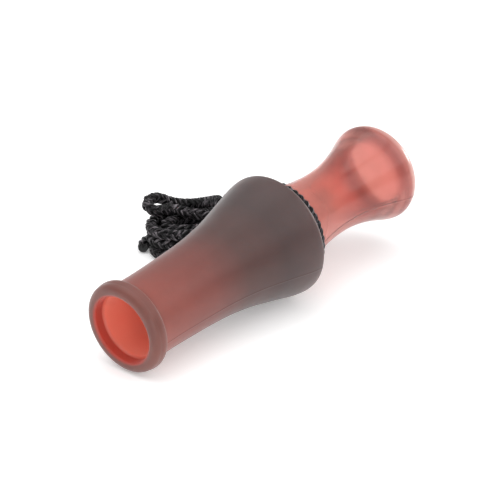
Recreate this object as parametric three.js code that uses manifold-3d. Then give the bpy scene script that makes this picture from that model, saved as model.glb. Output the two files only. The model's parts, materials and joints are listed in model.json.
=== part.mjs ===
// A duck call lying on its side. The barrel has a rolled mouth rim and a flared skirt that is cored out from
// behind. The insert pushes into the barrel and ends in an exhaust bell; it carries the tone board with its two
// reeds and their wedge, and two O-rings. A braided neck lanyard is looped round the insert and folded into a
// hank beside it. Millimetres, +Z up. The call runs along +X, mouth first, and rests on its mouth rim and its
// skirt, so its axis climbs a little towards the bell. The origin is on the surface that it lies on, under the
// middle of the call.
import * as THREE from "three";
import { mergeVertices } from "three/addons/utils/BufferGeometryUtils.js";
import Module from "manifold-3d";

const wasm = await Module();
wasm.setup();

// ---- Driving dimensions. Along the call they count from the mouth's face.
const CALL_LENGTH = 120;
const BORE_R = 9.6; // straight bore that the stub pushes into
const MOUTH_R = 10.3; // the bore opens to this at the mouth
const RIM_R = 14.2;
const RIM_LENGTH = 5.2;
const TUBE_R = 12.2;
const SKIRT_R = 19.4;
const SKIRT_AT = 66.6; // where the skirt is widest
const SKIRT_WALL = 2.2;
const RECESS_FRONT = 56; // the ring-shaped recess between the skirt and the hub starts here
const HUB_R = 12; // the hub holds the insert's stub
const HUB_END = 67.4;

const GAP = 0.3; // between pieces that touch or press together
const STUB_FRONT = 55.5;
const STUB_R = 9.2;
const EXHAUST_R = 6.5; // bore of the insert, which the tone board's plug pushes into
const FLANGE_R = 13.2;
const GROOVE_R = 12.0; // bottom of the lanyard groove
const GROOVE_AT = 71.9;
const GROOVE_HALF = 1.9;
const BELL_R = 15.7;
const BELL_AT = 115.8; // where the bell is widest
const BELL_MOUTH_R = 12.4;

const O_RING_AT = [58.6, 63.8];
const O_RING_SECTION_R = 0.7;
const O_RING_GROOVE_R = 7.7;
const O_RING_GROOVE_HALF = 1.0;

const BOARD_TIP = 20;
const BOARD_R = 8.4;
const COLLAR_FRONT = 46;
const COLLAR_R = 8.9;
const PLUG_END = 66;
const RAMP = THREE.MathUtils.degToRad(2.8); // the board falls away from the reeds towards its tip
const CHANNEL_WIDTH = 5.6;
const CHANNEL_DEPTH = 3.4;
const SLOT_WIDTH = 13.2;
const SLOT_HEIGHT = 4.2;
const SLOT_DEPTH = 5.4;

const REED_WIDTH = 12.4;
const REED_THICKNESS = 0.3;
const LONG_REED_LENGTH = 29.6;
const SHORT_REED_LENGTH = 27.8;

const CORD_R = 1.85;
const LOOP_R = GROOVE_R + GAP + CORD_R; // centre line of the loop round the insert
const HANK_START = new THREE.Vector2(1.2, 48.5); // left end of the hank, on the surface
const HANK_DIRECTION = THREE.MathUtils.degToRad(-39.2);
const HANK_LENGTH = 57;
const HANK_WIDTH = 19;
const HANK_HEIGHT = 14.4;
const TIE_AT = 31; // along the hank
const TIE_WIDTH = 2.4;
const TIE_THICKNESS = 1.0;

const ROUND_SIDES = 36;
const SMALL_SIDES = 24;

// ---- Materials
const plastic = (color, roughness) => new THREE.MeshStandardMaterial({ color, roughness, metalness: 0 });
const barrelPlastic = plastic(0x6b4c48, 0.42);
const insertPlastic = plastic(0xc8685c, 0.3);
const boardPlastic = plastic(0x3a2523, 0.4);
const reedFilm = plastic(0xe8e6dc, 0.25);
const wedgeCork = plastic(0xb98f63, 0.9);
const sealRubber = plastic(0x161616, 0.6);
const cordBraid = plastic(0x17161a, 0.85);
const tieRubber = plastic(0x1d1d1f, 0.55);

// ---- Geometry helpers
// A closed outline of [radius, distance along the call] points, turned round the call's axis, which is X.
function turned(outline, sides = ROUND_SIDES) {
  const points = outline.map(([radius, along]) => new THREE.Vector2(radius, along));
  points.push(points[0].clone());
  return new THREE.LatheGeometry(points, sides).rotateZ(-Math.PI / 2);
}

// Points of a round stretch of an outline, about a centre.
function arc(centreR, centreAt, radius, fromDegrees, toDegrees, steps = 4) {
  const points = [];
  for (let i = 0; i <= steps; i++) {
    const angle = THREE.MathUtils.degToRad(fromDegrees + ((toDegrees - fromDegrees) * i) / steps);
    points.push([centreR + radius * Math.cos(angle), centreAt + radius * Math.sin(angle)]);
  }
  return points;
}

// A smooth line through the given [radius, along] points.
function flowing(through, steps) {
  const curve = new THREE.SplineCurve(through.map(([r, s]) => new THREE.Vector2(r, s)));
  return curve.getPoints(steps).map((p) => [p.x, p.y]);
}

function solid(geometry) {
  const bare = geometry.clone();
  bare.deleteAttribute("normal");
  bare.deleteAttribute("uv");
  const merged = mergeVertices(bare, 1e-4);
  return new wasm.Manifold(
    new wasm.Mesh({
      numProp: 3,
      vertProperties: merged.attributes.position.array,
      triVerts: new Uint32Array(merged.index.array),
    }),
  );
}

function geometryOf(manifold) {
  const mesh = manifold.getMesh();
  const geometry = new THREE.BufferGeometry();
  geometry.setAttribute("position", new THREE.BufferAttribute(Float32Array.from(mesh.vertProperties), 3));
  geometry.setIndex(new THREE.BufferAttribute(Uint32Array.from(mesh.triVerts), 1));
  return geometry;
}

// A box given by its lowest and highest corner.
function block([x0, y0, z0], [x1, y1, z1]) {
  const box = new THREE.BoxGeometry(x1 - x0, y1 - y0, z1 - z0);
  return box.translate((x0 + x1) / 2, (y0 + y1) / 2, (z0 + z1) / 2);
}

// A plain cylinder along the call.
function rod(radius, from, to, sides = SMALL_SIDES) {
  return new THREE.CylinderGeometry(radius, radius, to - from, sides)
    .rotateZ(-Math.PI / 2)
    .translate((from + to) / 2, 0, 0);
}

function named(name, geometry, material) {
  const mesh = new THREE.Mesh(geometry, material);
  mesh.name = name;
  return mesh;
}

// ---- The barrel: mouth rim, tube, and the hollow skirt that flares out round the hub
function makeBarrel() {
  const edge = 1.7;
  const lip = 0.8;
  const flare = [
    [TUBE_R, RIM_LENGTH + 1.2],
    [12.3, 18],
    [12.75, 30],
    [13.4, 38.4],
    [14.75, 46.8],
    [16.45, 54],
    [18.1, 60],
    [SKIRT_R, SKIRT_AT],
  ];
  const skirtInside = flare
    .filter(([, along]) => along > RECESS_FRONT)
    .reverse()
    .map(([radius, along]) => [radius - SKIRT_WALL, along]);
  const outline = [
    [BORE_R, HUB_END - 0.6],
    [BORE_R, 14],
    [MOUTH_R, 5],
    ...arc(MOUTH_R + lip, lip, lip, 180, 270, 2),
    ...arc(RIM_R - edge, edge, edge, 270, 360, 4),
    ...arc(RIM_R - 1.4, RIM_LENGTH - 1.4, 1.4, 0, 75, 3),
    ...flowing(flare, 13),
    ...arc(SKIRT_R - 1.1, SKIRT_AT + 0.9, 1.1, 10, 170, 5),
    ...skirtInside,
    [HUB_R + 2.2, RECESS_FRONT],
    [HUB_R + 0.4, RECESS_FRONT],
    [HUB_R, RECESS_FRONT + 0.8],
    [HUB_R, HUB_END],
    [BORE_R + 0.6, HUB_END],
  ];
  return named("barrel", turned(outline), barrelPlastic);
}

// ---- The insert: stub with two O-ring grooves, flange, lanyard groove, waist and exhaust bell
function makeInsert() {
  const flangeFront = HUB_END + GAP;
  const grooveFront = GROOVE_AT - GROOVE_HALF;
  const lip = 3.9;
  const sealGroove = (at) => [
    [STUB_R, at - O_RING_GROOVE_HALF],
    [O_RING_GROOVE_R, at - O_RING_GROOVE_HALF],
    [O_RING_GROOVE_R, at + O_RING_GROOVE_HALF],
    [STUB_R, at + O_RING_GROOVE_HALF],
  ];
  const waist = [
    [12.7, GROOVE_AT + GROOVE_HALF],
    [12.0, 78],
    [10.95, 84.6],
    [10.5, 90.5],
    [10.6, 96],
    [11.5, 102],
    [13.1, 108],
    [14.8, 112.6],
    [BELL_R, BELL_AT],
  ];
  const inside = [
    [BELL_MOUTH_R, CALL_LENGTH - 0.3],
    [12.1, 115.5],
    [10.8, 108],
    [8.7, 101],
    [7.2, 93],
    [EXHAUST_R, 85],
  ];
  const outline = [
    [EXHAUST_R, STUB_FRONT],
    [STUB_R - 0.5, STUB_FRONT],
    [STUB_R, STUB_FRONT + 0.6],
    ...O_RING_AT.flatMap(sealGroove),
    [STUB_R, flangeFront],
    [FLANGE_R, flangeFront],
    [FLANGE_R, grooveFront],
    [GROOVE_R, grooveFront + 0.9],
    [GROOVE_R, GROOVE_AT + GROOVE_HALF - 0.9],
    ...flowing(waist, 14),
    ...arc(BELL_R - lip, BELL_AT, lip, 16, 60, 4),
    [BELL_MOUTH_R + 0.9, CALL_LENGTH],
    [BELL_MOUTH_R + 0.2, CALL_LENGTH],
    ...flowing(inside, 9),
  ];
  return named("insert", turned(outline), insertPlastic);
}

// ---- The tone board: a half-round board with a sound channel, a collar with the reed slot, and a plug
function makeToneBoard() {
  const wide = 2 * BOARD_R;
  const upper = block([BOARD_TIP - 2, -wide, 0], [COLLAR_FRONT - GAP, wide, wide]);
  const falling = block([-60, -wide, 0], [0, wide, wide]).rotateY(-RAMP).translate(COLLAR_FRONT - 1, 0, 0);
  const slot = block(
    [COLLAR_FRONT - 1, -SLOT_WIDTH / 2, 0],
    [COLLAR_FRONT + SLOT_DEPTH, SLOT_WIDTH / 2, SLOT_HEIGHT],
  );
  const channel = block(
    [BOARD_TIP + 4, -CHANNEL_WIDTH / 2, -CHANNEL_DEPTH],
    [COLLAR_FRONT + 2, CHANNEL_WIDTH / 2, 1],
  );
  const exhaustR = CHANNEL_DEPTH / 2 + 0.3;
  const exhaust = rod(exhaustR, COLLAR_FRONT + 1, PLUG_END + 1, 16).translate(0, 0, -CHANNEL_DEPTH / 2);
  let board = solid(rod(BOARD_R, BOARD_TIP, COLLAR_FRONT + 1))
    .add(solid(rod(COLLAR_R, COLLAR_FRONT, STUB_FRONT - GAP)))
    .add(solid(rod(EXHAUST_R - GAP, COLLAR_FRONT + 2, PLUG_END)));
  for (const cut of [upper, falling, slot, channel, exhaust]) board = board.subtract(solid(cut));
  return named("tone_board", geometryOf(board), boardPlastic);
}

// ---- The two reeds lie on the board one over the other, and the wedge jams them in the collar's slot
const REED_BACK = COLLAR_FRONT + SLOT_DEPTH - GAP;

// A flat blade with a rounded tip that points to the mouth.
function reedBlade(length, bottom) {
  const half = REED_WIDTH / 2;
  const corner = 2.4;
  const front = REED_BACK - length;
  const shape = new THREE.Shape();
  shape.moveTo(REED_BACK, -half);
  shape.lineTo(REED_BACK, half);
  shape.lineTo(front + corner, half);
  shape.absarc(front + corner, half - corner, corner, Math.PI / 2, Math.PI, false);
  shape.absarc(front + corner, corner - half, corner, Math.PI, 1.5 * Math.PI, false);
  const blade = new THREE.ExtrudeGeometry(shape, { depth: REED_THICKNESS, bevelEnabled: false, curveSegments: 5 });
  return blade.translate(0, 0, bottom);
}

const LONG_REED_BOTTOM = GAP;
const SHORT_REED_BOTTOM = LONG_REED_BOTTOM + REED_THICKNESS + GAP;

function makeWedge() {
  const bottom = SHORT_REED_BOTTOM + REED_THICKNESS + GAP;
  const shape = new THREE.Shape();
  const front = COLLAR_FRONT + 0.3;
  shape.moveTo(REED_BACK, bottom);
  shape.lineTo(REED_BACK, SLOT_HEIGHT - GAP - 0.3);
  shape.lineTo(front, SLOT_HEIGHT - GAP);
  shape.lineTo(front - 1.2, SLOT_HEIGHT - GAP - 1);
  shape.lineTo(front - 1.2, bottom);
  const width = SLOT_WIDTH - 2 * GAP - 0.6;
  const geometry = new THREE.ExtrudeGeometry(shape, { depth: width, bevelEnabled: false });
  return named("reed_wedge", geometry.rotateX(Math.PI / 2).translate(0, width / 2, 0), wedgeCork);
}

function makeORing(name, at) {
  const centreR = O_RING_GROOVE_R + 0.2 + O_RING_SECTION_R;
  const section = arc(centreR, at, O_RING_SECTION_R, 0, 315, 7);
  return named(name, turned(section, SMALL_SIDES), sealRubber);
}

// ---- The lanyard. Its loop lies in the insert's groove, and its knot sits on the loop, behind the skirt.
function makeLoop() {
  const section = arc(LOOP_R, GROOVE_AT, CORD_R, 0, 315, 7);
  return named("lanyard_loop", turned(section, ROUND_SIDES), cordBraid);
}

const KNOT_R = 4.5;
const KNOT_FROM_AXIS = LOOP_R + CORD_R + GAP + KNOT_R;
const KNOT_AT = GROOVE_AT + 2.6;
const KNOT_ANGLE = THREE.MathUtils.degToRad(-6); // just below the side that faces the hank

function makeKnot() {
  const knot = named("lanyard_knot", new THREE.SphereGeometry(KNOT_R, 12, 8), cordBraid);
  knot.position.set(KNOT_AT, KNOT_FROM_AXIS * Math.cos(KNOT_ANGLE), KNOT_FROM_AXIS * Math.sin(KNOT_ANGLE));
  return knot;
}

// The lead leaves the knot, turns towards the hank's left end and comes down on top of the hank.
const LEAD_ROUTE = [
  [14.3, 26.0, 17.4],
  [14.6, 27.5, 17.8],
  [15.7, 29.3, 18.3],
  [16.9, 31.4, 18.0],
  [17.3, 33.6, 17.0],
];

function makeLead() {
  const curve = new THREE.CatmullRomCurve3(LEAD_ROUTE.map((point) => new THREE.Vector3(...point)));
  const section = new THREE.Shape();
  section.absarc(0, 0, CORD_R, 0, 2 * Math.PI, false);
  const steps = Math.max(3, Math.round(curve.getLength() / (4 * CORD_R)));
  const geometry = new THREE.ExtrudeGeometry(section, { steps, curveSegments: 4, extrudePath: curve });
  return named("lanyard_lead", geometry, cordBraid);
}

// The hank in its own frame: it runs along +X from its left end, and its four layers of cord fill an outline
// with round ends. The tie is a band round it, and draws it in a little.
function tieBlock(grow) {
  const side = HANK_WIDTH / 2 - TIE_THICKNESS + grow;
  const along = TIE_WIDTH / 2 + 4 * GAP;
  return block(
    [TIE_AT - along, -side, TIE_THICKNESS - grow],
    [TIE_AT + along, side, HANK_HEIGHT - TIE_THICKNESS + grow],
  );
}

function makeHankSolids() {
  const half = HANK_WIDTH / 2;
  const shape = new THREE.Shape();
  shape.absarc(half, 0, half, Math.PI / 2, 1.5 * Math.PI, false);
  shape.absarc(HANK_LENGTH - half, 0, half, -Math.PI / 2, Math.PI / 2, false);
  const settings = { depth: HANK_HEIGHT, bevelEnabled: false, curveSegments: 8 };
  const bundle = solid(new THREE.ExtrudeGeometry(shape, settings));
  const waist = TIE_WIDTH / 2 + GAP;
  const round = block([TIE_AT - waist, -HANK_WIDTH, -1], [TIE_AT + waist, HANK_WIDTH, HANK_HEIGHT + 1]);
  const ring = solid(round).subtract(solid(tieBlock(-GAP)));
  const strap = block([TIE_AT - TIE_WIDTH / 2, -half, 0], [TIE_AT + TIE_WIDTH / 2, half, HANK_HEIGHT]);
  const band = solid(strap).subtract(solid(tieBlock(0)));
  const hank = new THREE.Group();
  hank.add(
    named("lanyard_hank", geometryOf(bundle.subtract(ring)), cordBraid),
    named("hank_tie", geometryOf(band), tieRubber),
  );
  hank.position.set(HANK_START.x, HANK_START.y, 0);
  hank.rotation.z = HANK_DIRECTION;
  return hank;
}

// ---- The call, built along its own axis and then laid down on its rim and skirt
const call = new THREE.Group();
call.add(
  makeBarrel(),
  makeInsert(),
  makeToneBoard(),
  named("reed_long", reedBlade(LONG_REED_LENGTH, LONG_REED_BOTTOM), reedFilm),
  named("reed_short", reedBlade(SHORT_REED_LENGTH, SHORT_REED_BOTTOM), reedFilm),
  makeWedge(),
  makeORing("o_ring_front", O_RING_AT[0]),
  makeORing("o_ring_rear", O_RING_AT[1]),
  makeLoop(),
  makeKnot(),
);
const rimContactAt = RIM_LENGTH / 2;
const tilt = Math.atan((SKIRT_R - RIM_R) / (SKIRT_AT - rimContactAt));
call.rotation.y = -tilt;
const lying = new THREE.Box3().setFromObject(call, true);
call.position.set(-(lying.min.x + lying.max.x) / 2, 0, -lying.min.z);

const part = new THREE.Group();
part.add(call, makeHankSolids(), makeLead());
export default part;
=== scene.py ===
import json
import math

import bpy
import numpy as np
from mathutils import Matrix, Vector


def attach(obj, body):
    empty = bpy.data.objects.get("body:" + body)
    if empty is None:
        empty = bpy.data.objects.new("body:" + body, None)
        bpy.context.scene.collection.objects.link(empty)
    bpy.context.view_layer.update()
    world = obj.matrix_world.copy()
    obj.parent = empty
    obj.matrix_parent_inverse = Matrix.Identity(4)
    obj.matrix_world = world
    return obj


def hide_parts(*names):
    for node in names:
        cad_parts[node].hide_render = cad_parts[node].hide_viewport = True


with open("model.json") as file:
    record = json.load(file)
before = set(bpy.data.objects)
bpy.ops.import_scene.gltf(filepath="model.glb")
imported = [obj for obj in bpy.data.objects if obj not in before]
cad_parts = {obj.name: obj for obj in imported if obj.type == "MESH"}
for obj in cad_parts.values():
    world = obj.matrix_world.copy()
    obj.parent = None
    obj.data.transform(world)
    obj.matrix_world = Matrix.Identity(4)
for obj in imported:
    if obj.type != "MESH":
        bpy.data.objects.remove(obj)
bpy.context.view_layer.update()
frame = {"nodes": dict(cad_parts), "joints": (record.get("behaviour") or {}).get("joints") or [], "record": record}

# ---- The frame: where the call's axis lies. Along the call, distances count from the mouth's face.
MM = 0.001
joints = {j["name"]: j for j in frame["joints"]}
mounts = {m["name"]: m for m in frame["record"]["mounts"]}
AXIS = np.array(joints["insert_pull"]["axis"], float)
mouth_face = mounts["mouth_face"]["pos_m"]
MOUTH = np.array([mouth_face[0], 0.0, mouth_face[2]])
SIDE = np.array([0.0, 1.0, 0.0])
UP = np.array([0.0, 0.0, 1.0])
RISE = np.cross(AXIS, SIDE)

# ---- The call's driving dimensions, in millimetres
CALL_LENGTH = 120
RIM_R = 14.2
TUBE_R = 12.2
BORE_R = 9.6  # the bore that the insert's stub pushes into
LIP_DEPTH = 3.6  # the mouth's bore steps in here
SKIRT_END = 68.6
HUB_R = 12.0
HUB_END = 67.4
STUB_R = 9.2
STUB_AT = 55.5  # where the insert's stub starts
FLANGE_R = 13.2
EXHAUST_R = 6.5
BELL_R = 15.7
GROOVE_AT = 71.9  # the lanyard's groove
GROOVE_CURVE = 2.0
GROOVE_CENTRE_R = 14.0
SEALS_AT = {"o_ring_front": 58.6, "o_ring_rear": 63.8}
SEAL_R = 0.75
SEAL_CENTRE_R = 8.6
SEAL_GROOVE_R = 7.7

# ---- The mould's parting lines, on both shells. Their angle counts from +Y towards the top.
SEAM_ANGLE = math.radians(195)
PARTING_LINES = (SEAM_ANGLE, SEAM_ANGLE + math.pi)
SEAM_HEIGHT = 0.09
SEAM_HALF = 0.18  # half its width
# The mesh has points at these angles from each line, in place of its even ones within SEAM_CLEARED
SEAM_STEPS = np.array([-3, -2, -1.2, -0.6, 0, 0.6, 1.2, 2, 3]) * math.radians(0.7)
SEAM_CLEARED = math.radians(2.6)


def on_call(along, radius=0.0, angle=0.0):
    """The point at a distance along the call, off its axis at an angle from +Y towards the top, in metres."""
    return MOUTH + MM * (along * AXIS + radius * (math.cos(angle) * SIDE + math.sin(angle) * RISE))


# ---- The camera, at the photograph's angle
CAMERA_AT = (-0.51158, -0.43960, 0.35290)
CAMERA_LOOKS = Vector((0.67710, 0.58574, -0.44548))
CAMERA_LENS = 180.02
CAMERA_SENSOR = 36


def make_camera():
    data = bpy.data.cameras.new("camera")
    data.lens = CAMERA_LENS
    data.sensor_width = CAMERA_SENSOR
    data.clip_start = 0.01
    camera = bpy.data.objects.new("camera", data)
    camera.location = CAMERA_AT
    camera.rotation_euler = CAMERA_LOOKS.to_track_quat("-Z", "Y").to_euler()
    bpy.context.scene.collection.objects.link(camera)
    bpy.context.scene.camera = camera


make_camera()


# ---- Lines and meshes
def flowing(points, step):
    """A smooth curve through the points, as points about step apart."""
    p = np.array(points, float)
    p = np.vstack([2 * p[0] - p[1], p, 2 * p[-1] - p[-2]])
    out = []
    for a, b, c, d in zip(p, p[1:], p[2:], p[3:]):
        n = max(2, int(np.ceil(np.linalg.norm(c - b) / step)))
        t = np.linspace(0, 1, n, endpoint=False)[:, None]
        out.append(
            0.5 * (2 * b + (c - a) * t + (2 * a - 5 * b + 4 * c - d) * t**2 + (3 * b - a - 3 * c + d) * t**3)
        )
    return np.vstack([*out, p[-2:-1]])


def even(line, step):
    """The same line with its points the same distance apart."""
    run = np.concatenate([[0], np.cumsum(np.linalg.norm(np.diff(line, axis=0), axis=1))])
    at = np.linspace(0, run[-1], max(2, int(round(run[-1] / step)) + 1))
    return np.stack([np.interp(at, run, line[:, k]) for k in range(3)], axis=1)


def add_mesh(name, points, faces, material, smooth=True):
    mesh = bpy.data.meshes.new(name)
    mesh.from_pydata([tuple(p) for p in points], [], faces)
    mesh.materials.append(material)
    if smooth:
        mesh.shade_smooth()
    mesh.validate()
    obj = bpy.data.objects.new(name, mesh)
    bpy.context.scene.collection.objects.link(obj)
    return obj


def grid_faces(rows, columns, close_rows, close_columns):
    """Quads between the points of a grid that is stored row by row."""
    i = np.arange(rows if close_rows else rows - 1)[:, None]
    j = np.arange(columns if close_columns else columns - 1)[None, :]
    i2, j2 = (i + 1) % rows, (j + 1) % columns
    quads = np.stack([i * columns + j, i2 * columns + j, i2 * columns + j2, i * columns + j2], axis=-1)
    return quads.reshape(-1, 4).tolist()


# ---- Materials
def new_material(name):
    material = bpy.data.materials.new(name)
    material.use_nodes = True
    nodes = material.node_tree.nodes
    nodes.clear()
    shader = nodes.new("ShaderNodeBsdfPrincipled")
    output = nodes.new("ShaderNodeOutputMaterial")
    material.node_tree.links.new(shader.outputs["BSDF"], output.inputs["Surface"])
    return material, shader


class Nodes:
    """Small helpers for a material's node tree. Distances are in millimetres."""

    def __init__(self, material):
        self.tree = material.node_tree

    def add(self, kind, settings=None, **inputs):
        node = self.tree.nodes.new("ShaderNode" + kind)
        for key, value in (settings or {}).items():
            setattr(node, key, value)
        for key, value in inputs.items():
            self.set(node, key.replace("_", " "), value)
        return node

    def set(self, node, socket, value):
        """Links a socket to another one, or gives it a value."""
        if isinstance(value, bpy.types.NodeSocket):
            self.tree.links.new(value, node.inputs[socket])
        else:
            node.inputs[socket].default_value = value

    def calculate(self, kind, operation, *values):
        node = self.add(kind, {"operation": operation})
        for index, value in enumerate(values):
            self.set(node, index, value)
        return node.outputs

    def position(self):
        return self.add("TexCoord").outputs["Object"]

    def noise(self, vector, scale, detail=3.0, roughness=0.5):
        node = self.add("TexNoise", Vector=vector, Scale=scale, Detail=detail, Roughness=roughness)
        return node.outputs["Fac"]

    def from_mouth(self, vector):
        return self.calculate("VectorMath", "SUBTRACT", vector, MOUTH)["Vector"]

    def along(self, vector):
        """How far a point lies along the call from the mouth's face."""
        return self.calculate("VectorMath", "DOT_PRODUCT", self.from_mouth(vector), AXIS / MM)["Value"]

    def off_axis(self, vector):
        """How far a point lies from the call's axis."""
        cross = self.calculate("VectorMath", "CROSS_PRODUCT", self.from_mouth(vector), AXIS / MM)["Vector"]
        return self.calculate("VectorMath", "LENGTH", cross)["Value"]

    def off_seam(self, vector):
        """How far a point lies from the plane of the parting lines."""
        across = (math.cos(SEAM_ANGLE) * RISE - math.sin(SEAM_ANGLE) * SIDE) / MM
        away = self.calculate("VectorMath", "DOT_PRODUCT", self.from_mouth(vector), across)["Value"]
        return self.calculate("Math", "ABSOLUTE", away)["Value"]

    def times(self, a, b):
        return self.calculate("Math", "MULTIPLY", a, b)["Value"]

    def remap(self, value, low, high, to_low, to_high):
        node = self.add("MapRange", {"clamp": True})
        for index, number in enumerate((value, low, high, to_low, to_high)):
            self.set(node, index, number)
        return node.outputs[0]

    def ramp(self, value, stops):
        node = self.add("ValToRGB", Fac=value)
        elements = node.color_ramp.elements
        while len(elements) < len(stops):
            elements.new(0.5)
        for element, (at, color) in zip(elements, stops):
            element.position = at
            element.color = (*color, 1)
        return node.outputs["Color"]

    def mix(self, factor, a, b, blend="MIX"):
        """Mixes two colours. A colour mix has its factor at socket 0 and its colours at 6 and 7."""
        node = self.add("Mix", {"data_type": "RGBA", "blend_type": blend})
        for socket, value in ((0, factor), (6, a), (7, b)):
            self.set(node, socket, value)
        return node.outputs[2]

    def bump(self, height, strength, distance):
        node = self.add("Bump", Height=height, Strength=strength, Distance=distance)
        return node.outputs["Normal"]


PLASTIC_IOR = 1.5
NECK_AT = 76.0  # the insert's wall is thick up to here, and thin from BELL_AT on
BELL_AT = 98.0
# Painted shade along the ridge of the parting lines
PAINTED_SEAM_SHADE = (0.07, 0.02, 0.017, 1)
# Painted shade: the bore's lip is painted a deeper red, where the thick rim lets less light through
PAINTED_LIP_SHADE = (0.55, 0.07, 0.045, 1)
# Painted light: the emission colour in the deep bore, standing in for light that comes through the wall
PAINTED_GLOW_TINT = (1.0, 0.36, 0.25, 1)
SPREAD_BY_COLOR = (1.0, 0.3, 0.2)  # red light spreads the furthest inside the plastic
SPREAD_DEPTH = 4 * MM


def skin_color_and_painted_light(n, position, stops, end):
    """The skin's colour along the call, up to end, with a faint cloudiness. The stops carry painted light and
    shade as well as the plastic's own colour.
    """
    along = n.remap(n.along(position), 0, end, 0, 1)
    cloud = n.remap(n.noise(position, scale=70, detail=4, roughness=0.6), 0.3, 0.7, 0.88, 1.1)
    return n.mix(1.0, n.ramp(along, stops), cloud, "MULTIPLY")


def painted_seam_shade_mask(n, position, bore, shade, ends):
    """Where painted shade darkens the skin along the parting lines' ridge: between their two ends, and not in the
    bore.
    """
    line = n.remap(n.off_seam(position), SEAM_HALF * 0.6, SEAM_HALF * 1.4, 1, 0)
    on_skin = n.remap(n.off_axis(position), bore + 1.0, bore + 1.6, 0, shade)
    after_first = n.remap(n.along(position), ends[0], ends[0] + 1, 0, 1)
    before_last = n.remap(n.along(position), ends[1] - 1, ends[1], 1, 0)
    return n.times(n.times(line, on_skin), n.times(after_first, before_last))


def tinted_plastic(
    name, *, stops, end, seam_shade, seam_ends, bore, bore_painted_light, painted_glow, roughness, shine, clear, cloudy, sheen
):
    """Moulded translucent plastic with a satin skin, and a bore whose colour and emission are painted light.

    The stops give the skin's colour along the call, up to end, with painted light and shade in them. bore is
    the radius of the bore. clear says how much light goes through at the thick neck and at the thin bell, and
    cloudy how much spreads in the wall.
    """
    material, shader = new_material(name)
    n = Nodes(material)
    position = n.position()
    inside = n.remap(n.off_axis(position), bore + 0.1, bore + 1.0, 1, 0)
    deep = n.remap(n.along(position), LIP_DEPTH - 0.6, LIP_DEPTH + 0.6, 0, 1)
    # The bore is painted with the light that comes through its wall: a deeper red at the lip, brighter further in
    painted_bore_light_color = n.mix(deep, PAINTED_LIP_SHADE, bore_painted_light)
    color_with_painted_light = n.mix(inside, skin_color_and_painted_light(n, position, stops, end), painted_bore_light_color)
    seam = painted_seam_shade_mask(n, position, bore, seam_shade, seam_ends)
    # Painted shade along the parting lines
    n.set(shader, "Base Color", n.mix(seam, color_with_painted_light, PAINTED_SEAM_SHADE))
    # Painted light by emission in the deep bore
    n.set(shader, "Emission Color", PAINTED_GLOW_TINT)
    n.set(shader, "Emission Strength", n.times(n.times(inside, deep), painted_glow))
    n.set(shader, "Sheen Weight", sheen)
    n.set(shader, "Sheen Roughness", 0.4)
    patches = n.noise(position, scale=240, detail=4, roughness=0.6)
    grain = n.noise(position, scale=2600, detail=2, roughness=0.5)
    n.set(shader, "Roughness", n.remap(patches, 0.3, 0.7, roughness - 0.03, roughness + 0.04))
    n.set(shader, "Normal", n.bump(grain, strength=0.1, distance=0.1 * MM))
    n.set(shader, "IOR", PLASTIC_IOR)
    n.set(shader, "Specular IOR Level", shine)
    n.set(shader, "Transmission Weight", n.remap(n.along(position), NECK_AT, BELL_AT, *clear))
    n.set(shader, "Subsurface Weight", cloudy)
    n.set(shader, "Subsurface Radius", SPREAD_BY_COLOR)
    n.set(shader, "Subsurface Scale", SPREAD_DEPTH)
    return material


# Dark yarn colour, with light filaments that are painted glints
FILAMENT_STOPS_WITH_PAINTED_GLINTS = [(0.46, (0.001, 0.001, 0.0012)), (0.54, (0.03, 0.027, 0.03)), (0.66, (0.2, 0.18, 0.195))]
FILAMENT_STRETCH = (0.2, 1.4, 1.0)


def cord_material(name):
    """Bundles of fine filaments that run along each yarn. The light filaments are painted glints."""
    material, shader = new_material(name)
    n = Nodes(material)
    uv = n.add("UVMap", {"uv_map": "yarn"}).outputs["UV"]
    stretched = n.add("Mapping", Vector=uv, Scale=FILAMENT_STRETCH)
    filaments = n.noise(stretched.outputs["Vector"], scale=2.2, detail=3, roughness=0.6)
    n.set(shader, "Base Color", n.ramp(filaments, FILAMENT_STOPS_WITH_PAINTED_GLINTS))
    n.set(shader, "Roughness", n.remap(filaments, 0.35, 0.65, 0.5, 0.32))
    n.set(shader, "Normal", n.bump(filaments, strength=1.0, distance=0.2 * MM))
    n.set(shader, "IOR", 1.4)
    n.set(shader, "Specular IOR Level", 0.25)
    return material


def plain_material(name, low, high, roughness, scale, bump):
    """A surface whose colour wanders between two shades, with a fine bump."""
    material, shader = new_material(name)
    n = Nodes(material)
    position = n.position()
    spread = n.noise(position, scale, detail=5, roughness=0.6)
    fine = n.noise(position, scale * 4, detail=3, roughness=0.6)
    n.set(shader, "Base Color", n.ramp(spread, [(0.35, low), (0.65, high)]))
    n.set(shader, "Roughness", n.remap(spread, 0.3, 0.7, roughness - 0.05, roughness + 0.06))
    n.set(shader, "Normal", n.bump(fine, bump, distance=0.2 * MM))
    return material


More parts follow.
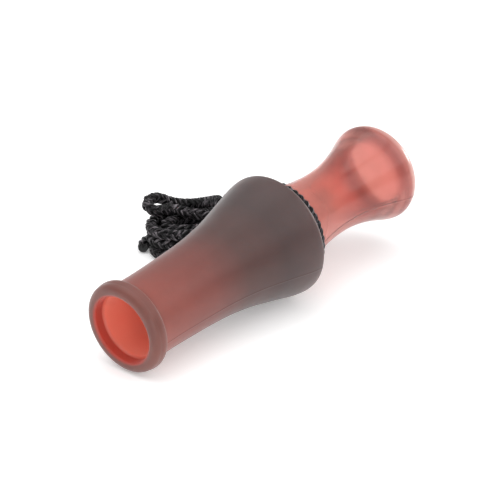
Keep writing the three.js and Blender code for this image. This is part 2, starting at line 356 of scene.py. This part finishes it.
barrel_plastic = tinted_plastic(
    "barrel_plastic",
    # The plastic's red with painted light and shade: lighter towards the thin-walled mouth, where light comes
    # through, darker where the insert sits inside, and lighter again at the skirt's edge, where light falls
    stops=[
        (0.0, (0.2, 0.068, 0.052)),
        (0.06, (0.19, 0.06, 0.045)),
        (0.1, (0.29, 0.07, 0.051)),
        (0.4, (0.195, 0.05, 0.038)),
        (0.6, (0.088, 0.034, 0.028)),
        (0.8, (0.06, 0.028, 0.026)),
        (1.0, (0.09, 0.046, 0.043)),
    ],
    end=SKIRT_END,
    seam_shade=0.45,
    seam_ends=(7.0, 68.0),
    bore=BORE_R + 0.8,
    # The bore's colour and emission strength below are painted light
    bore_painted_light=(0.9, 0.22, 0.15, 1),
    painted_glow=0.09,
    roughness=0.42,
    shine=0.45,
    clear=(0.25, 0.25),
    cloudy=0.4,
    sheen=0.22,
)
insert_plastic = tinted_plastic(
    "insert_plastic",
    stops=[
        (0.55, (0.72, 0.24, 0.19)),
        (0.76, (0.72, 0.24, 0.19)),
        (0.84, (0.6, 0.18, 0.14)),
        (0.93, (0.56, 0.15, 0.12)),
        # Painted shade: a dark ring near the bell's rim stands in for its inner edge seen through the wall, with
        # painted light on the rim beyond it
        (0.952, (0.24, 0.04, 0.032)),
        (0.965, (0.28, 0.055, 0.045)),
        (0.978, (0.6, 0.3, 0.26)),
    ],
    end=CALL_LENGTH,
    seam_shade=0.95,
    seam_ends=(60.0, 113.5),
    bore=EXHAUST_R + 0.1,
    # The bore's colour below is painted light, with no painted emission
    bore_painted_light=(0.85, 0.36, 0.28, 1),
    painted_glow=0.0,
    roughness=0.19,
    shine=0.25,
    clear=(0.55, 0.92),
    cloudy=0.0,
    sheen=0.0,
)
board_plastic = plain_material("board_plastic", (0.03, 0.012, 0.010), (0.045, 0.018, 0.015), 0.38, 150, 0.1)
reed_film = plain_material("reed_film", (0.62, 0.6, 0.52), (0.7, 0.68, 0.6), 0.22, 200, 0.05)
cork = plain_material("cork", (0.30, 0.17, 0.08), (0.55, 0.36, 0.2), 0.8, 500, 0.6)
seal_rubber = plain_material("seal_rubber", (0.012, 0.012, 0.012), (0.02, 0.02, 0.02), 0.45, 300, 0.15)
tie_rubber = plain_material("tie_rubber", (0.02, 0.02, 0.021), (0.035, 0.035, 0.036), 0.5, 300, 0.2)
braid_material = cord_material("braid")
melted_cord = plain_material("melted_cord", (0.002, 0.002, 0.0022), (0.006, 0.006, 0.0065), 0.5, 900, 0.4)


# ---- The two shells and the seals, turned about the call's axis. An outline's points are (radius, along).
def arc(centre_r, centre_at, radius, start, end, steps):
    angles = np.radians(np.linspace(start, end, steps + 1))
    return [(centre_r + radius * math.cos(a), centre_at + radius * math.sin(a)) for a in angles]


def flow2(points, step=0.8):
    line = flowing([(r, s, 0) for r, s in points], step)
    return [(r, s) for r, s, _ in line]


def from_line(angle, line):
    """How far an angle lies from a parting line's, between -pi and pi."""
    return (angle - line + math.pi) % (2 * math.pi) - math.pi


def closer_at_seams(angles):
    """The same angles, closer together at the parting lines."""
    for line in PARTING_LINES:
        far = np.abs(from_line(angles, line)) >= SEAM_CLEARED
        angles = np.concatenate([angles[far], (line + SEAM_STEPS) % (2 * math.pi)])
    return np.sort(angles)


def seam_lift(angle, radius):
    """How far the parting lines stand out at an angle."""
    offs = [from_line(angle, line) * radius for line in PARTING_LINES]
    return sum(SEAM_HEIGHT * math.exp(-((off / SEAM_HALF) ** 2)) for off in offs)


def turned(name, outline, material, seam=range(0), sides=144):
    """A closed outline turned about the axis. seam holds the numbers of its points with a parting line."""
    angles = np.linspace(0, 2 * math.pi, sides, endpoint=False)
    if seam:
        angles = closer_at_seams(angles)
    points = []
    for angle in angles:
        for index, (radius, along) in enumerate(outline):
            lift = seam_lift(angle, radius) if index in seam else 0.0
            points.append(on_call(along, radius + lift, angle))
    faces = grid_faces(len(angles), len(outline), True, True)
    return add_mesh(name, points, faces, material)


SEAM_OVER_EDGE = 4  # how many points of the skirt's edge the barrel's parting line reaches
SEAM_SHORT_OF_END = 4  # how many points of the bell's edge the insert's parting line leaves free


def barrel_front():
    """The mouth's lip, the rolled rim and the fillet behind it."""
    lip = [(10.05, 3.75), (10.45, 3.35), (10.5, 3.1)] + arc(11.3, 0.85, 0.8, 180, 262, 8)
    rim = flow2(
        [(11.5, 0.03), (12.2, 0.05), (13.0, 0.35), (13.65, 0.95), (13.95, 1.6), (14.0, 2.1), (14.1, 2.5)]
        + [(RIM_R, 3.1), (14.18, 3.8), (13.95, 4.45), (13.5, 4.8)],
        step=0.25,
    )
    fillet = flow2([(12.95, 5.0), (12.6, 5.2), (12.4, 5.6), (12.28, 6.4)], step=0.2)
    return lip + rim, fillet


def barrel_inside():
    """The recess behind the skirt, the hub and the bore."""
    recess = flow2([(17.1, 66.4), (16.6, 63.6), (15.8, 60), (14.9, 57.2), (14.2, 56.2), (13.2, 55.9)])
    hub = flow2([(12.4, 56.2), (12.05, 57.2), (HUB_R, 60), (HUB_R, 66.6)])
    hub_face = [(11.8, 67.2), (11.4, HUB_END), (10.3, HUB_END)]
    bore_edge = [(9.75, 67.0), (BORE_R, 66.2)]
    bore = flow2([(BORE_R, 60), (BORE_R, 40), (BORE_R, 20), (9.65, 12), (9.9, 6), (9.98, 4.1)], step=2)
    return recess + hub + hub_face + bore_edge + bore


def make_barrel():
    rim, fillet = barrel_front()
    body = flow2(
        [(TUBE_R, 9.6), (TUBE_R, 14.4), (12.4, 21.6), (12.72, 30), (13.4, 38.4), (14.7, 46.8), (16.4, 54)]
        + [(17.95, 60), (18.9, 63.6), (19.36, 66.2)]
    )
    edge = flow2(
        [(19.42, 67.3), (19.36, 67.9), (19.1, 68.4), (18.6, SKIRT_END), (18.0, 68.58), (17.5, 68.35)]
        + [(17.35, 67.7)],
        step=0.2,
    )
    outline = rim + fillet + body + edge + barrel_inside()
    seam = range(len(rim), len(rim + fillet + body) + SEAM_OVER_EDGE)
    barrel = turned("barrel_shell", outline, barrel_plastic, seam)
    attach(barrel, "barrel")
    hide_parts("barrel")


def seal_groove(at):
    front_edge = [(STUB_R, at - 1.1), (STUB_R - 0.1, at - 1.0)]
    rear_edge = [(STUB_R - 0.1, at + 1.0), (STUB_R, at + 1.1)]
    floor_front = [(SEAL_GROOVE_R + 0.1, at - 1.0), (SEAL_GROOVE_R, at - 0.9)]
    floor_rear = [(SEAL_GROOVE_R, at + 0.9), (SEAL_GROOVE_R + 0.1, at + 1.0)]
    return front_edge + floor_front + floor_rear + rear_edge


def insert_stub():
    """The stub with its two seal grooves, the flange and the lanyard's groove."""
    front = [(6.6, 55.6), (6.9, STUB_AT), (8.6, STUB_AT), (9.0, 55.7), (STUB_R, 56.2)]
    seals = [point for at in SEALS_AT.values() for point in seal_groove(at)]
    flange = [(STUB_R, 66.8), (9.3, 67.65), (9.6, 67.7), (12.9, 67.7), (13.15, 67.85)]
    flange += [(FLANGE_R, 68.2), (FLANGE_R, 69.5)]
    groove = arc(GROOVE_CENTRE_R, GROOVE_AT, GROOVE_CURVE, 238, 122, 10)
    return front + seals + flange + groove[1:-1]


def make_insert():
    stub = insert_stub()
    neck = flow2(
        [(12.75, 73.9), (12.6, 74.9), (12.0, 78), (10.98, 84), (10.5, 90), (10.6, 96), (11.5, 102)]
        + [(13.1, 108), (14.7, 112.4), (15.45, 114.6)]
    )
    bell = flow2(
        [(BELL_R, 116.0), (15.45, 117.4), (14.9, 118.6), (14.1, 119.6), (13.4, 119.97), (12.8, 119.95)],
        step=0.35,
    )
    inside = flow2(
        [(12.45, 119.5), (12.3, 118.2), (12.05, 115.5), (11.6, 112), (10.7, 107.5), (9.5, 103), (8.3, 98.5)]
        + [(7.3, 93), (6.7, 88), (EXHAUST_R, 84), (EXHAUST_R, 76), (EXHAUST_R, 66), (EXHAUST_R, 57)],
        step=1.2,
    )
    outline = stub + neck + bell + inside
    seam = range(len(stub), len(stub + neck + bell) - SEAM_SHORT_OF_END)
    insert = turned("insert_shell", outline, insert_plastic, seam)
    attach(insert, "insert")
    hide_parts("insert")


def make_o_ring(node, at):
    section = arc(SEAL_CENTRE_R, at, SEAL_R, 0, 345, 23)  # the last step back to 360 degrees closes it
    ring = turned(node + "_seal", section, seal_rubber, sides=96)
    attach(ring, "insert")
    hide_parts(node)


make_barrel()
make_insert()
for node, at in SEALS_AT.items():
    make_o_ring(node, at)

for node, material in (
    ("tone_board", board_plastic),
    ("reed_long", reed_film),
    ("reed_short", reed_film),
    ("reed_wedge", cork),
):
    frame["nodes"][node].data.materials.clear()
    frame["nodes"][node].data.materials.append(material)


# ---- The lanyard's cord: eight yarns braided round a core, in millimetres
CORD_R = 1.85
CORD_STEP = 0.8

YARNS_EACH_WAY = 4
YARN_PITCH = 9.0  # one turn of a yarn round the cord
YARN_R = 1.36  # the yarns' mean distance from the cord's centre
YARN_WAVE = 0.26  # how far a yarn rises and dips as it passes over and under
YARN_SECTION = [(-0.76, -0.3), (-0.56, 0.14), (0.0, 0.38), (0.56, 0.14), (0.76, -0.3)]
YARN_SLOPE = math.atan2(2 * math.pi * YARN_R, YARN_PITCH)
YARN_STEP = 0.375
CORE_R = 1.15
CORE_SIDES = 6
RIDGE = math.radians(26)


def frames(line, level=False):
    """Tangents and two normals along a line. They don't twist, or the first normal stays level."""
    tangent = np.gradient(line, axis=0)
    tangent /= np.linalg.norm(tangent, axis=1)[:, None]
    if level:
        normal = np.cross(tangent, UP)
        normal /= np.linalg.norm(normal, axis=1)[:, None]
        return tangent, normal, np.cross(tangent, normal)
    normal = np.empty_like(tangent)
    start = np.cross(tangent[0], UP)
    normal[0] = start / np.linalg.norm(start)
    for i in range(1, len(line)):
        carried = normal[i - 1] - tangent[i] * normal[i - 1].dot(tangent[i])
        normal[i] = carried / np.linalg.norm(carried)
    return tangent, normal, np.cross(tangent, normal)


def end_caps(rows, width):
    """One face for the first row of a grid, and one for the last."""
    return list(range(width)), list(range((rows - 1) * width, rows * width))


def tube(line, radius, sides):
    """The points and faces of a round tube with closed ends. The radius may change along it."""
    tangent, normal, across = frames(line)
    angle = np.linspace(0, 2 * math.pi, sides, endpoint=False)
    ring = np.cos(angle)[None, :, None] * normal[:, None] + np.sin(angle)[None, :, None] * across[:, None]
    points = line[:, None] + np.broadcast_to(radius, len(line))[:, None, None] * ring
    first, last = end_caps(len(line), sides)
    faces = grid_faces(len(line), sides, False, True) + [first[::-1], last]
    return points.reshape(-1, 3), faces


def yarn_points(line, axes, way, place, chevron):
    """A yarn's points, row by row along the line. place is its angle round the cord."""
    tangent, normal, across = axes
    lift = YARN_R + way * YARN_WAVE * np.sin(2 * (place - chevron))
    rows = []
    for aside, out in YARN_SECTION:
        angle = place + aside * math.cos(YARN_SLOPE) / YARN_R
        outward = np.cos(angle)[:, None] * normal + np.sin(angle)[:, None] * across
        shift = -way * aside * math.sin(YARN_SLOPE)
        rows.append(line + shift * tangent + (lift + out)[:, None] * outward)
    return np.stack(rows, axis=1)


def yarn_faces(rows, way):
    width = len(YARN_SECTION)
    quads = grid_faces(rows, width, False, True)
    if way == 1:
        quads = [quad[::-1] for quad in quads]
    first, last = end_caps(rows, width)
    return quads + [first, last[::-1]]


def add_uv(cord, uv):
    """Gives the mesh its points' places along their yarn and across it."""
    layer = cord.data.uv_layers.new(name="yarn")
    corners = np.empty(len(cord.data.loops), np.int32)
    cord.data.loops.foreach_get("vertex_index", corners)
    layer.data.foreach_set("uv", uv[corners].ravel())


def braid(name, line, material, ridge=None):
    """Eight yarns, four each way round, that pass over and under one another along the line.

    The yarns meet in ridges of chevrons. Where ridge is given, the cord lies level, and one ridge is turned
    up by that angle on the side that HANK_ACROSS points away from.
    """
    line = even(line, YARN_STEP)
    axes = frames(line, level=ridge is not None)
    chevron = 0.0 if ridge is None else -ridge * (axes[0] @ HANK_ALONG)
    along = np.arange(len(line)) * YARN_STEP
    turn = 2 * math.pi * along / YARN_PITCH
    points, faces, uvs = [], [], []
    count = 0
    for way in (1, -1):
        for yarn in range(YARNS_EACH_WAY):
            place = way * turn + yarn * 2 * math.pi / YARNS_EACH_WAY
            grid = yarn_points(line, axes, way, place, chevron)
            points.append(grid.reshape(-1, 3))
            faces += [[count + k for k in face] for face in yarn_faces(len(line), way)]
            v = np.broadcast_to(np.linspace(0, 1, len(YARN_SECTION)) + 2 * yarn + 9 * way, grid.shape[:2])
            u = np.broadcast_to(along[:, None], grid.shape[:2])
            uvs.append(np.stack([u, v], axis=-1).reshape(-1, 2))
            count += len(points[-1])
    core, core_faces = tube(even(line, 4 * YARN_STEP), CORE_R, CORE_SIDES)
    points.append(core)
    uvs.append(np.zeros((len(core), 2)))
    faces += [[count + k for k in face] for face in core_faces]
    cord = add_mesh(name, np.vstack(points) * MM, faces, material)
    add_uv(cord, np.vstack(uvs))
    return cord


# ---- The hank's own frame: along it from its left end, across it away from the camera, and up
HANK_START = np.array([1.2, 48.5, 0.0])
HANK_TURN = math.radians(-39.2)
HANK_ALONG = np.array([math.cos(HANK_TURN), math.sin(HANK_TURN), 0.0])
HANK_ACROSS = np.array([-math.sin(HANK_TURN), math.cos(HANK_TURN), 0.0])
HANK_HALF = 9.5
HANK_HEIGHT = 14.4
BIGHT_END = 24  # up to here the top bight may stand above the hank
BIGHT_HEIGHT = 30.0
TIE_AT = 31.0
TIE_HALF = 8.5
TIE_LOW = 1.0
TIE_HIGH = 13.4
TIE_SPREAD = 4.5  # how far along the hank the tie squeezes it
TIE_CLEAR = 0.25  # how far the strands keep from the tie, at the sides and above
TIE_CLEAR_BELOW = 0.2

# The lead's points are in the part's own frame, and all the others are in the hank's
LEAD_ROUTE = [
    (14.3, 26.0, 17.4),
    (14.6, 27.5, 17.8),
    (15.7, 29.3, 18.3),
    (16.9, 31.4, 18.0),
    (17.3, 33.6, 17.0),
]
TOP_BIGHT = [
    (19.6, 1.8, 15.2),
    (16.3, 4.4, 13.8),
    (12.8, 6.2, 13.3),
    (9.4, 6.4, 14.2),
    (6.2, 6.6, 15.6),
    (3.7, 5.8, 16.0),
    (2.1, 4.1, 15.5),
    (2.5, 2.3, 14.5),
    (4.6, 1.0, 13.8),
    (7.6, 2.4, 13.6),
    (11.0, 3.1, 12.8),
    (15.0, 1.4, 12.2),
    (19.0, -1.0, 12.1),
    (23.5, -4.8, 12.1),
    (28.0, -6.4, 12.1),
]
# Each fold: which end, how far it reaches, the side and height it comes in at, and those it leaves at
FOLDS = [
    ("right", 51.5, -6.8, 12.1, 6.8, 12.1),
    ("left", 27.0, 6.8, 12.1, -1.8, 12.1),
    ("right", 54.5, -1.8, 11.6, 7.6, 8.65),
    ("left", 2.1, 7.6, 8.65, -7.6, 8.65),
    ("right", 48.5, -7.6, 8.65, 4.1, 8.65),
    ("left", 6.0, 4.1, 8.65, -4.1, 8.65),
    ("right", 45.0, -4.1, 8.65, 4.1, 5.2),
    ("left", 6.2, 4.1, 5.2, -4.1, 5.2),
    ("right", 48.5, -4.1, 5.2, 7.6, 5.2),
    ("left", 2.3, 7.6, 5.2, -7.6, 5.2),
    ("right", 51.8, -7.6, 5.2, 4.1, 1.8),
    ("left", 2.4, 4.1, 1.8, -7.6, 1.8),
    ("right", 55.2, -7.6, 1.8, 7.6, 1.8),
]
TAIL = [
    (11.0, 7.6, 1.8),
    (7.6, 7.6, 1.8),
    (4.4, 6.6, 1.8),
    (2.2, 4.6, 1.85),
    (1.0, 2.6, 1.85),
    (0.1, 1.0, 1.85),
]
FOLD_POINTS = 9
RUN_PARTS = (0.25, 0.5, 0.75)  # a run between two folds has a point at each of these parts of it
RUN_WANDER = (0, 0.35, 0.25)  # how far such a point strays, along the hank, across it and up

ROUTE_STEP = 1.0
SETTLE_STEP = 2.0
SETTLE_ROUNDS = 160
HELD_POINTS = 27  # the lead and the top bight keep their places as the rest settles
OWN_NEIGHBOURS = 4  # points this near along the cord don't push one another
STRANDS_APART = 2 * CORD_R - 0.1
LEAST_GAP = 0.1  # points nearer than this push as if they were this far apart
PUSH = 0.25
STIFFNESS = 0.35
FURTHEST_MOVE = 0.5


def from_hank(points):
    p = np.array(points, float)
    return HANK_START + p[:, :1] * HANK_ALONG + p[:, 1:2] * HANK_ACROSS + p[:, 2:] * UP


def to_hank(points):
    p = np.array(points, float) - HANK_START
    return np.stack([p @ HANK_ALONG, p @ HANK_ACROSS, p[:, 2]], axis=1)


def fold_points(end, reach, side_in, height_in, side_out, height_out):
    radius = abs(side_out - side_in) / 2
    outward = -1 if end == "left" else 1
    turn = np.linspace(0, math.pi, FOLD_POINTS)
    along = reach + outward * radius * (np.sin(turn) - 1)
    across = (side_in + side_out) / 2 + (side_in - side_out) / 2 * np.cos(turn)
    up = height_in + (height_out - height_in) * (1 - np.cos(turn)) / 2
    return list(zip(along, across, up))


def cord_line():
    """The cord's centreline from the knot to its cut end, in the hank's frame."""
    rng = np.random.default_rng(7)
    route = list(TOP_BIGHT)
    for fold in FOLDS:
        points = fold_points(*fold)
        a, b = np.array(route[-1]), np.array(points[0])
        for part in RUN_PARTS:
            wander = rng.normal(0, 1, 3) * RUN_WANDER
            route.append(tuple(a + (b - a) * part + wander))
        route += points
    route += TAIL
    hank = flowing(np.vstack([to_hank(LEAD_ROUTE), route]), ROUTE_STEP)
    return settled(even(hank, SETTLE_STEP))


def pushed_apart(line, i, j):
    """How far the strands that lie in one another push each point."""
    gap = line[j] - line[i]
    distance = np.linalg.norm(gap, axis=1)
    near = distance < STRANDS_APART
    overlap = (STRANDS_APART - distance[near]) / np.maximum(distance[near], LEAST_GAP)
    push = gap[near] * overlap[:, None] * PUSH
    move = np.zeros_like(line)
    np.add.at(move, j[near], push)
    np.add.at(move, i[near], -push)
    return move


def bent_evenly(line):
    """How far the cord's stiffness moves each point."""
    middle = (line[:-2] + line[2:]) / 2 - line[1:-1]
    bend = np.zeros_like(line)
    bend[2:-2] = (middle[:-2] + middle[2:]) / 2 - middle[1:-1]
    return -STIFFNESS * bend


def keep_in_hank(line, free):
    """Keeps the free points inside the hank's outline, which is slimmer at its tie."""
    squeeze = np.exp(-(((line[:, 0] - TIE_AT) / TIE_SPREAD) ** 4))
    half = HANK_HALF - CORD_R - squeeze * (HANK_HALF - TIE_HALF + TIE_CLEAR)
    low = CORD_R + squeeze * (TIE_LOW + TIE_CLEAR_BELOW)
    high = HANK_HEIGHT - CORD_R - squeeze * (HANK_HEIGHT - TIE_HIGH + TIE_CLEAR)
    high = np.where(line[:, 0] < BIGHT_END, BIGHT_HEIGHT, high)
    line[free, 1] = np.clip(line[free, 1], -half[free], half[free])
    line[free, 2] = np.clip(line[free, 2], low[free], high[free])


def settled(line):
    """The line, with its strands moved apart until they only touch, inside the hank's outline."""
    i, j = np.triu_indices(len(line), OWN_NEIGHBOURS)
    free = np.ones(len(line), bool)
    free[:HELD_POINTS] = False
    free[-1] = False
    for _ in range(SETTLE_ROUNDS):
        move = pushed_apart(line, i, j) + bent_evenly(line)
        move[~free] = 0
        line = line + np.clip(move, -FURTHEST_MOVE, FURTHEST_MOVE)
        keep_in_hank(line, free)
    return line


def make_lanyard():
    line = flowing(from_hank(cord_line()), CORD_STEP)
    cord = braid("lanyard_cord", line, braid_material, ridge=RIDGE)
    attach(cord, "lanyard")
    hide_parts("lanyard_lead", "lanyard_hank")
    return cord, line


CUT_END_STEPS = np.array([-1.3, -1.0, -0.6, -0.2, 0.1, 0.3, 0.38, 0.4, 0.42])
CUT_END_RADII = np.array([1.5, 1.62, 1.7, 1.72, 1.72, 1.66, 1.5, 1.0, 0.3])
CUT_END_SIDES = 20
CUT_END_LUMPS = 0.04
CUT_END_SLANT = 0.4


def make_cut_end(line):
    """The melted end of the cord, cut on a slant."""
    out = line[-1] - line[-5]
    out /= np.linalg.norm(out)
    points, faces = tube(line[-1] + CUT_END_STEPS[:, None] * out, CUT_END_RADII, CUT_END_SIDES)
    rng = np.random.default_rng(3)
    points = points + rng.normal(0, CUT_END_LUMPS, points.shape)
    points -= CUT_END_SLANT * (points[:, 2:] - line[-1][2]) * out
    end = add_mesh("cord_cut_end", points * MM, faces, melted_cord)
    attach(end, "lanyard")
    return end


LOOP_R = 14.15
LOOP_POINTS = 60
LOOP_END = ((1.2, 1.5), (1.6, -2.2))  # two places of each end in the knot: aside and out from its centre
LOOP_OPENING = 0.12  # how much wider than its two tangents the loop opens towards the knot, in radians
KNOT_AT = 74.5
KNOT_FROM_AXIS = 20.8
KNOT_ANGLE = math.radians(-6)
KNOT_TURNS = 2.4
KNOT_POINTS = 60
KNOT_START = 0.6  # the first wrap's angle, in radians
KNOT_LOW = -3.9
KNOT_HEIGHT = 7.8
KNOT_END_HALVES = (1.4, 0.8)  # the wraps' half width and half depth at the knot's two ends
KNOT_FULLER = (2.8, 2.35)  # how much more they are between the ends
KNOT_TAPER = 1.2  # how much of a turn the knot takes to reach its full width, in radians


def knot_frame():
    """The knot's centre, the way out from the call's axis, and the way round it."""
    centre = on_call(KNOT_AT, KNOT_FROM_AXIS, KNOT_ANGLE) / MM
    outward = math.cos(KNOT_ANGLE) * SIDE + math.sin(KNOT_ANGLE) * RISE
    return centre, outward, np.cross(AXIS, outward)


def make_loop():
    """The loop round the insert's groove, with both ends run into the knot."""
    centre, outward, around = knot_frame()
    open_half = math.acos(LOOP_R / KNOT_FROM_AXIS) + LOOP_OPENING
    angles = np.linspace(KNOT_ANGLE + open_half, KNOT_ANGLE + 2 * math.pi - open_half, LOOP_POINTS)
    ring = [on_call(GROOVE_AT, LOOP_R, a) / MM for a in angles]
    ends = []
    for way in (1, -1):
        ends.append([centre + aside * way * around + out * outward for aside, out in LOOP_END])
    points = [*ends[0], *ring, *ends[1][::-1]]
    loop = braid("lanyard_loop_cord", flowing(points, CORD_STEP), braid_material)
    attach(loop, "lanyard")
    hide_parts("lanyard_loop")
    return loop


def make_knot():
    """Wraps of the cord round the loop's two ends."""
    centre, outward, around = knot_frame()
    turns = np.linspace(0, 2 * math.pi * KNOT_TURNS, KNOT_POINTS)
    full = np.minimum(1, np.minimum(turns, turns[-1] - turns) / KNOT_TAPER) ** 0.7
    wide, deep = (end + more * full for end, more in zip(KNOT_END_HALVES, KNOT_FULLER))
    rise = KNOT_LOW + KNOT_HEIGHT * turns / turns[-1]
    points = (
        centre
        + (wide * np.sin(turns + KNOT_START))[:, None] * around
        + (deep * np.cos(turns + KNOT_START))[:, None] * AXIS
        + rise[:, None] * outward
    )
    knot = braid("lanyard_slip_knot", flowing(points, CORD_STEP), braid_material)
    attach(knot, "lanyard")
    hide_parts("lanyard_knot")
    return knot


TIE_WRAPS = 3
TIE_CORNER = 4.2
TIE_CORNER_STEPS = 6
TIE_WRAP_SHIFT = 0.8
TIE_WAVE = 0.12
TIE_WAVE_TURN = 0.37
BAND_R = 0.42
BAND_SIDES = 8
BAND_INSET = 0.45
BAND_STEP = 0.6


def tie_outline():
    """The rounded outline, across and up, that the band follows round the hank."""
    wide = TIE_HALF - BAND_INSET - TIE_CORNER
    low = TIE_LOW + BAND_INSET + TIE_CORNER
    high = TIE_HIGH - BAND_INSET - TIE_CORNER
    outline = []
    for across, up, start in ((wide, high, 0), (-wide, high, 90), (-wide, low, 180), (wide, low, 270)):
        for step in range(TIE_CORNER_STEPS):
            a = math.radians(start + step * 90 / (TIE_CORNER_STEPS - 1))
            outline.append((across + TIE_CORNER * math.cos(a), up + TIE_CORNER * math.sin(a)))
    return outline


def make_tie():
    """A rubber band wound round the hank."""
    outline = tie_outline()
    around = len(outline)
    steps = np.arange(TIE_WRAPS * around)
    shift = (steps / around - TIE_WRAPS / 2) * TIE_WRAP_SHIFT + TIE_WAVE * np.sin(steps * TIE_WAVE_TURN)
    points = [(TIE_AT + shift[k], *outline[k % around]) for k in steps]
    line = flowing(from_hank(points), BAND_STEP)
    mesh_points, faces = tube(line, BAND_R, BAND_SIDES)
    tie = add_mesh("rubber_band", mesh_points * MM, faces, tie_rubber)
    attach(tie, "lanyard")
    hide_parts("hank_tie")
    return tie


lanyard, lanyard_line = make_lanyard()
make_cut_end(lanyard_line)
make_loop()
make_knot()
make_tie()


# ---- The floor, the lights and the world, in metres
FLOOR_HALF = 3.0
FLOOR_DROP = 0.0002
FLOOR_SHADES = [(0.3, (0.93, 0.93, 0.93)), (0.7, (0.95, 0.95, 0.95))]
FLOOR_GLOW = 0.24
WHITE = (1, 1, 1, 1)
LIGHTS_AIM = Vector((0, 0, 0.015))
WORLD_STRENGTH = 0.72


def make_floor():
    material, shader = new_material("pale_floor")
    n = Nodes(material)
    n.set(shader, "Base Color", n.ramp(n.noise(n.position(), scale=4, detail=2), FLOOR_SHADES))
    n.set(shader, "Roughness", 0.9)
    n.set(shader, "Specular IOR Level", 0.1)
    n.set(shader, "Emission Color", WHITE)
    n.set(shader, "Emission Strength", FLOOR_GLOW)
    corners = [(x * FLOOR_HALF, y * FLOOR_HALF, 0) for x, y in ((-1, -1), (1, -1), (1, 1), (-1, 1))]
    floor = add_mesh("floor", corners, [(0, 1, 2, 3)], material, smooth=False)
    floor.location.z = -FLOOR_DROP


def make_light(name, place, size, power):
    data = bpy.data.lights.new(name, "AREA")
    data.shape = "RECTANGLE"
    data.size, data.size_y = size
    data.energy = power
    light = bpy.data.objects.new(name, data)
    light.location = place
    aim = LIGHTS_AIM - light.location
    light.rotation_euler = aim.to_track_quat("-Z", "Y").to_euler()
    bpy.context.scene.collection.objects.link(light)


def make_world():
    world = bpy.data.worlds.new("studio")
    world.use_nodes = True
    background = world.node_tree.nodes["Background"]
    background.inputs["Color"].default_value = WHITE
    background.inputs["Strength"].default_value = WORLD_STRENGTH
    bpy.context.scene.world = world


make_floor()
make_world()
make_light("overhead", place=(-0.1, 0.2, 0.9), size=(1.1, 1.1), power=4.5)
make_light("front_right", place=(0.2, -0.75, 0.85), size=(1.3, 0.9), power=4.0)
make_light("into_the_mouth", place=(-0.45, -0.55, 0.1), size=(0.2, 0.2), power=0.8)
make_light("into_the_bell", place=(0.9, -0.1, 0.12), size=(0.3, 0.2), power=1.8)
bpy.context.scene.view_settings.view_transform = "Standard"
